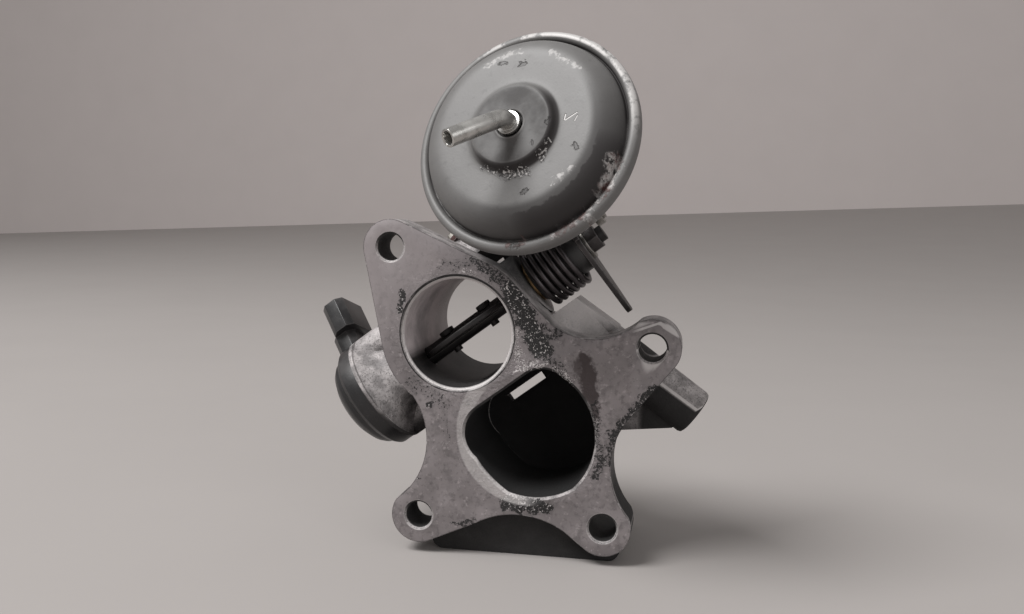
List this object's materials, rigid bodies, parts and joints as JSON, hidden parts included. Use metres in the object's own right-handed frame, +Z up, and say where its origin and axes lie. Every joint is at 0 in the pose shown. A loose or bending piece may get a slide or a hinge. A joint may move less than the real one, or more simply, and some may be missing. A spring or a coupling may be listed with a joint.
{
  "type": "engine shut-off valve",
  "caption": "Cast engine shut-off valve: a vacuum can turns a butterfly flap in a round air bore beside a D-shaped port, with a return spring and a shaft position sensor",
  "frame": {"origin": "centre of the air bore at the flange's front face", "axes": "+Y runs along the air bore, away from the flange face; +Z is up; +X is to the right seen from the front"},
  "size_m": [0.1399, 0.1079, 0.1679],
  "materials": {
    "cast_body": "machined and sand-cast, sooted",
    "bronze_bush": "sintered",
    "seal_rubber": "moulded",
    "dark_steel": "oiled dark steel",
    "flap_steel": "worn",
    "spring_steel": "oiled",
    "guide_plastic": "moulded",
    "can_steel": "grey zinc, worn",
    "rear_steel": "grey zinc, rusting",
    "nipple_steel": "plated",
    "zinc_fastener": "zinc plated",
    "sensor_plastic": "glass-filled, satin",
    "board": "laminate",
    "contact_metal": "tinned"
  },
  "bodies": {
    "valve_body": {"housing": "cast_body", "drive_bush": "bronze_bush", "sensor_bush": "bronze_bush", "shaft_seals": "seal_rubber", "return_spring": "spring_steel", "sensor_seal": "seal_rubber", "sensor_screws": "zinc_fastener", "diaphragm": "seal_rubber", "diaphragm_spring": "spring_steel", "can_front": "can_steel", "can_rear": "rear_steel", "vacuum_nipple": "nipple_steel", "can_studs": "zinc_fastener", "can_nuts": "zinc_fastener", "rod_bush": "bronze_bush", "can_bracket": "rear_steel", "bracket_screws": "zinc_fastener", "sensor_housing": "sensor_plastic", "sensor_lid": "sensor_plastic", "sensor_board": "board", "connector_pins": "contact_metal"},
    "flap": {"flap_shaft": "dark_steel", "flap_disc": "flap_steel", "flap_screws": "flap_steel", "spring_sleeve": "guide_plastic", "lever": "dark_steel", "lever_washer": "zinc_fastener", "lever_nut": "dark_steel", "sensor_rotor": "guide_plastic"},
    "rod": {"actuator_rod": "nipple_steel", "link_pin": "zinc_fastener", "pin_clip": "spring_steel", "diaphragm_plate": "zinc_fastener"}
  },
  "joints": [
    {"name": "flap_turn", "type": "hinge", "parent": "valve_body", "child": "flap", "pos_m": [0, 0.02, 0], "axis": [0.8028, 0, 0.5962], "range_deg": [0, 75], "deforming": ["return_spring"]},
    {"name": "rod_slide", "type": "slide", "parent": "valve_body", "child": "rod", "axis": [-0.252, -0.9063, 0.3393], "range_m": [0, 0.0183], "stiffness_N_per_m": 500, "springref_m": -0.004, "deforming": ["diaphragm", "diaphragm_spring"]}
  ],
  "couplings": [
    {"joint": "flap_turn", "follows": "rod_slide", "rad_per_m": 71.429}
  ]
}
